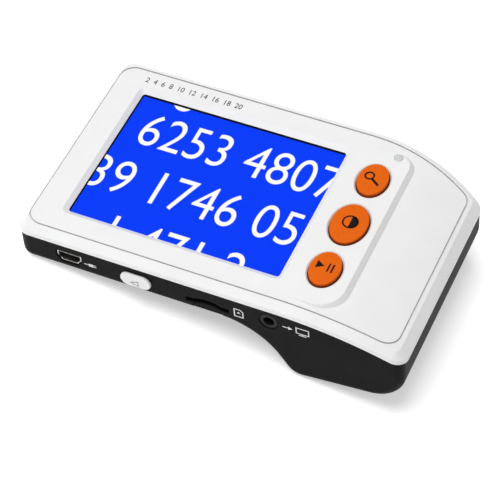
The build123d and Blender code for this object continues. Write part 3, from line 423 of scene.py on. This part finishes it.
def stroke(points, width, closed=False):
    """A line of one width along the points, as a strip of quads with mitred corners."""
    count = len(points)
    line = [Vector(p) for p in points]
    rims = []
    for k, point in enumerate(line):
        before = (point - line[k - 1]).normalized() if closed or k else None
        after = (line[(k + 1) % count] - point).normalized() if closed or k < count - 1 else None
        first, second = before or after, after or before
        along = (first + second).normalized()
        reach = width / 2 / max(along.dot(first), MITRE_LEAST)
        aside = Vector((-along.y, along.x)) * reach
        rims.append((point + aside, point - aside))
    steps = range(count if closed else count - 1)
    return [[rims[k][0], rims[k][1], rims[(k + 1) % count][1], rims[(k + 1) % count][0]] for k in steps]


def top_place(x, y, z):
    """Shapes drawn in x and y, on a surface that faces up."""
    return Matrix.Translation((x, y, z))


def wall_place(x, y, z):
    """Shapes drawn in x and z, on the near wall."""
    return Matrix.Translation((x, y, z)) @ Matrix.Rotation(radians(90), 4, "X")


def add_piece(name, mesh, body, material):
    piece = bpy.data.objects.new(name, mesh)
    scene.collection.objects.link(piece)
    mesh.materials.clear()
    mesh.materials.append(material)
    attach(piece, body)


def print_on(name, faces, place, body, material, low=-INK_ROOT, high=INK):
    """Flat faces in millimetres made into a thin solid on a surface."""
    bm = bmesh.new()
    for face in faces:
        bm.faces.new([bm.verts.new((x * MM, y * MM, low)) for x, y in face])
    bmesh.ops.remove_doubles(bm, verts=bm.verts, dist=0.0005 * MM)
    lifted = bmesh.ops.extrude_face_region(bm, geom=bm.faces[:])["geom"]
    moved = [item for item in lifted if isinstance(item, bmesh.types.BMVert)]
    bmesh.ops.translate(bm, verts=moved, vec=(0, 0, high - low))
    bmesh.ops.recalc_face_normals(bm, faces=bm.faces)
    bmesh.ops.transform(bm, matrix=place, verts=bm.verts)
    mesh = bpy.data.meshes.new(name)
    bm.to_mesh(mesh)
    bm.free()
    add_piece(name, mesh, body, material)


# ---------------------------------------------------------------- numerals
def numerals(text, height, thickness, thin=0.0, narrow=1.0):
    """A solid mesh of a line of numerals, its baseline on y = 0, its left end near x = 0."""
    curve = bpy.data.curves.new("numerals", "FONT")
    curve.body = text
    curve.size = height / CAP_SHARE
    curve.extrude = thickness / 2
    curve.offset = -thin
    curve.resolution_u = 8
    source = bpy.data.objects.new("numerals", curve)
    scene.collection.objects.link(source)
    bpy.context.view_layer.update()
    mesh = bpy.data.meshes.new_from_object(source.evaluated_get(bpy.context.evaluated_depsgraph_get()))
    bpy.data.objects.remove(source)
    mesh.transform(Matrix.Diagonal((narrow, 1, 1, 1)))
    return mesh


def trimmed(meshes, half_x, half_y):
    """Several meshes joined, and cut off at a rectangle round the origin."""
    bm = bmesh.new()
    for mesh in meshes:
        bm.from_mesh(mesh)
    bmesh.ops.remove_doubles(bm, verts=bm.verts, dist=0.001 * MM)
    for corner, outward in (((half_x, 0, 0), (1, 0, 0)), ((-half_x, 0, 0), (-1, 0, 0)),
                            ((0, half_y, 0), (0, 1, 0)), ((0, -half_y, 0), (0, -1, 0))):
        geom = bm.verts[:] + bm.edges[:] + bm.faces[:]
        cut = bmesh.ops.bisect_plane(bm, geom=geom, plane_co=corner, plane_no=outward, clear_outer=True)
        edges = [item for item in cut["geom_cut"] if isinstance(item, bmesh.types.BMEdge)]
        bmesh.ops.holes_fill(bm, edges=edges)
    joined = bpy.data.meshes.new("trimmed")
    bm.to_mesh(joined)
    bm.free()
    return joined


# ---------------------------------------------------------------- pieces
def make_picture():
    """The lit blue sheet and the enlarged numerals on it, between the panel and the window."""
    glass_low, glass_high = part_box("lcd_glass")
    window_low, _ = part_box("display_window")
    centre = (glass_low + glass_high) / 2
    gap = window_low.z - glass_high.z
    half_x, half_y = PICTURE[0] / 2, PICTURE[1] / 2
    corners = [(-half_x, -half_y), (half_x, -half_y), (half_x, half_y), (-half_x, half_y)]
    sheet = [[(x / MM, y / MM) for x, y in corners]]
    blue = lit("picture_blue", (0.0, 0.045, 0.96, 1), 1.0)
    print_on("screen_picture", sheet, top_place(centre.x, centre.y, glass_high.z), "casing",
             blue, low=SHEET_LOW * gap, high=SHEET_HIGH * gap)

    thickness = DIGIT_THICK * gap
    rows = []
    for x, y, text in DIGIT_ROWS:
        mesh = numerals(text, DIGIT_HEIGHT, thickness, DIGIT_THIN, DIGIT_NARROW)
        mesh.transform(Matrix.Translation((x * MM, y * MM, 0)))
        rows.append(mesh)
    mesh = trimmed(rows, half_x, half_y)
    mesh.transform(Matrix.Translation((centre.x, centre.y, glass_high.z + DIGIT_LOW * gap + thickness / 2)))
    add_piece("screen_numerals", mesh, "casing", lit("picture_white", grey(1.0), 1.0))


def make_key_icons():
    ink = printed("black_ink", grey(0.006), (0.05, 0.02, 0.01, 1))

    def on_key(name, faces):
        low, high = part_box(name)
        middle = (low + high) / 2
        place = top_place(middle.x, middle.y, high.z)
        print_on(name + "_icon", faces, place, name, ink, high=KEY_INK)

    # zoom: a magnifying glass, its handle towards the near right
    loupe = stroke(ring_points((-1.35, 0.80), 1.38), 0.55, closed=True)
    handle = stroke([(-0.30, -0.15), (2.45, -2.05)], 0.78)
    on_key("zoom_key", loupe + handle)
    # colour: a circle, its right half filled
    half_disc = ring_points((0.2, 0.30), 2.3, -90, 90, 32)
    on_key("colour_key", stroke(ring_points((0.2, 0.30), 2.3), 0.5, closed=True) + [half_disc])
    # freeze: a triangle and two bars
    play = [(-2.85, 1.95), (-2.9, -0.95), (-0.4, 0.45)]
    bars = [stroke([(x, -1.3), (x, 1.95)], 0.5)[0] for x in (1.0, 2.28)]
    on_key("freeze_key", [play] + bars)


def make_knob_arrow():
    low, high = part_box("power_knob")
    middle = (low + high) / 2
    ink = printed("grey_ink", grey(0.16), grey(0.40))
    arrow = stroke([(-1.5, -0.75), (0.95, -1.75), (0.95, 0.35)], 0.24, closed=True)
    place = wall_place(middle.x, low.y, middle.z)
    print_on("power_knob_arrow", arrow, place, "power_knob", ink)


def make_wall_prints():
    """Small white pictograms beside the sockets."""
    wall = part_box("rear_casing")[0].y
    ink = printed("white_ink", grey(0.70), grey(0.35))

    # beside the USB socket: a plug with its two blades and its lead
    low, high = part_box("usb_shell")
    plug = stroke([(0.6, 0.0), (2.2, 0.0)], 0.32) + [[(2.2, -0.62), (3.7, -0.62), (3.7, 0.62), (2.2, 0.62)]]
    blades = [stroke([(3.7, z), (4.7, z)], 0.3)[0] for z in (-0.34, 0.34)]
    place = wall_place(high.x + USB_PRINT_X, wall, (low.z + high.z) / 2)
    print_on("usb_print", plug + blades, place, "casing", ink)

    # between the card slot and the jack: a card with a clipped corner and an arrow into the slot
    low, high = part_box("tv_jack")
    jack_x, jack_z = (low.x + high.x) / 2, high.z - JACK_NOSE
    card = stroke([(-1.4, -1.7), (1.4, -1.7), (1.4, 0.9), (0.5, 1.7), (-1.4, 1.7)], 0.36, closed=True)
    arrow = [[(-0.6, -0.15), (0.6, -0.15), (0.0, 0.75)]]
    place = wall_place(jack_x + CARD_PRINT_X, wall, jack_z + CARD_PRINT_Z)
    print_on("card_print", card + arrow, place, "casing", ink)

    # right of the jack: an arrow to a monitor on its foot
    shaft = stroke([(0.0, 0.0), (1.9, 0.0)], 0.34)
    head = [[(1.8, -0.75), (3.2, 0.0), (1.8, 0.75)]]
    monitor = stroke([(4.4, -1.0), (8.4, -1.0), (8.4, 1.45), (4.4, 1.45)], 0.34, closed=True)
    foot = stroke([(5.2, -1.75), (7.6, -1.75)], 0.34) + stroke([(6.4, -1.0), (6.4, -1.7)], 0.5)
    place = wall_place(jack_x + MONITOR_PRINT_X, wall, jack_z + MONITOR_PRINT_Z)
    print_on("monitor_print", shaft + head + monitor + foot, place, "casing", ink)


def make_caption():
    """A plain row of numerals above the screen, in place of a name."""
    glass_low, glass_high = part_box("lcd_glass")
    centre = (glass_low + glass_high) / 2
    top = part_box("upper_casing")[1].z
    mesh = numerals(CAPTION, CAPTION_HEIGHT, INK + INK_ROOT)
    width = max(v.co.x for v in mesh.vertices)
    mesh.transform(Matrix.Diagonal((CAPTION_LENGTH / width, 1, 1, 1)))
    middle_z = top + (INK - INK_ROOT) / 2
    mesh.transform(Matrix.Translation((centre.x + CAPTION_X, centre.y + CAPTION_Y, middle_z)))
    ink = printed("dark_ink", grey(0.025), grey(0.12))
    add_piece("caption_numerals", mesh, "casing", ink)


# ---------------------------------------------------------------- studio
def make_floor():
    bm = bmesh.new()
    bmesh.ops.create_circle(bm, cap_ends=True, segments=96, radius=FLOOR_RADIUS)
    turn = FLOOR_NORMAL.to_track_quat("Z", "Y").to_matrix().to_4x4()
    bmesh.ops.transform(bm, matrix=Matrix.Translation(FLOOR_TOUCH) @ turn, verts=bm.verts)
    mesh = bpy.data.meshes.new("floor")
    bm.to_mesh(mesh)
    bm.free()
    made = Finish("pale_floor", specular=0.1)
    made.shader.inputs["Emission Color"].default_value = grey(1.0)
    made.shader.inputs["Emission Strength"].default_value = FLOOR_GLOW
    cloud = made.noise(0.4, 2.0)
    colour = made.blend(cloud, grey(0.94), grey(0.96))
    mesh.materials.append(made.finish(colour, made.span(cloud, 0.3, 0.7, 0.7, 0.8)))
    floor = bpy.data.objects.new("floor", mesh)
    scene.collection.objects.link(floor)


def make_light(name, place, aim, size, power):
    lamp = bpy.data.lights.new(name, "AREA")
    lamp.shape = "DISK"
    lamp.size = size
    lamp.energy = power
    holder = bpy.data.objects.new(name, lamp)
    scene.collection.objects.link(holder)
    holder.location = place
    holder.rotation_mode = "QUATERNION"
    holder.rotation_quaternion = (aim - place).to_track_quat("-Z", "Y")


def make_world():
    """Soft white surroundings, brighter on the left than on the right."""
    world = bpy.data.worlds.new("studio")
    scene.world = world
    world.use_nodes = True
    nodes, links = world.node_tree.nodes, world.node_tree.links
    place = nodes.new("ShaderNodeTexCoord")
    parts = nodes.new("ShaderNodeSeparateXYZ")
    span = nodes.new("ShaderNodeMapRange")
    for socket, value in zip(span.inputs[1:5], (-1.0, 1.0, WORLD_LEFT, WORLD_RIGHT)):
        socket.default_value = value
    links.new(place.outputs["Generated"], parts.inputs[0])
    links.new(parts.outputs[0], span.inputs[0])
    background = nodes["Background"]
    background.inputs["Color"].default_value = (1, 1, 1, 1)
    links.new(span.outputs[0], background.inputs["Strength"])


def make_camera():
    data = bpy.data.cameras.new("camera")
    data.lens = LENS
    data.sensor_width = SENSOR
    camera = bpy.data.objects.new("camera", data)
    scene.collection.objects.link(camera)
    back = CAMERA_RIGHT.cross(CAMERA_UP)
    turn = Matrix((CAMERA_RIGHT, CAMERA_UP, back)).transposed()
    camera.matrix_world = Matrix.Translation(CAMERA_PLACE) @ turn.to_4x4()
    scene.camera = camera


make_camera()
paint_nodes()
make_picture()
make_key_icons()
make_knob_arrow()
make_wall_prints()
make_caption()
make_floor()
make_world()
make_light("key_light", KEY_PLACE, KEY_AIM, KEY_SIZE, KEY_POWER)
scene.view_settings.view_transform = "Standard"
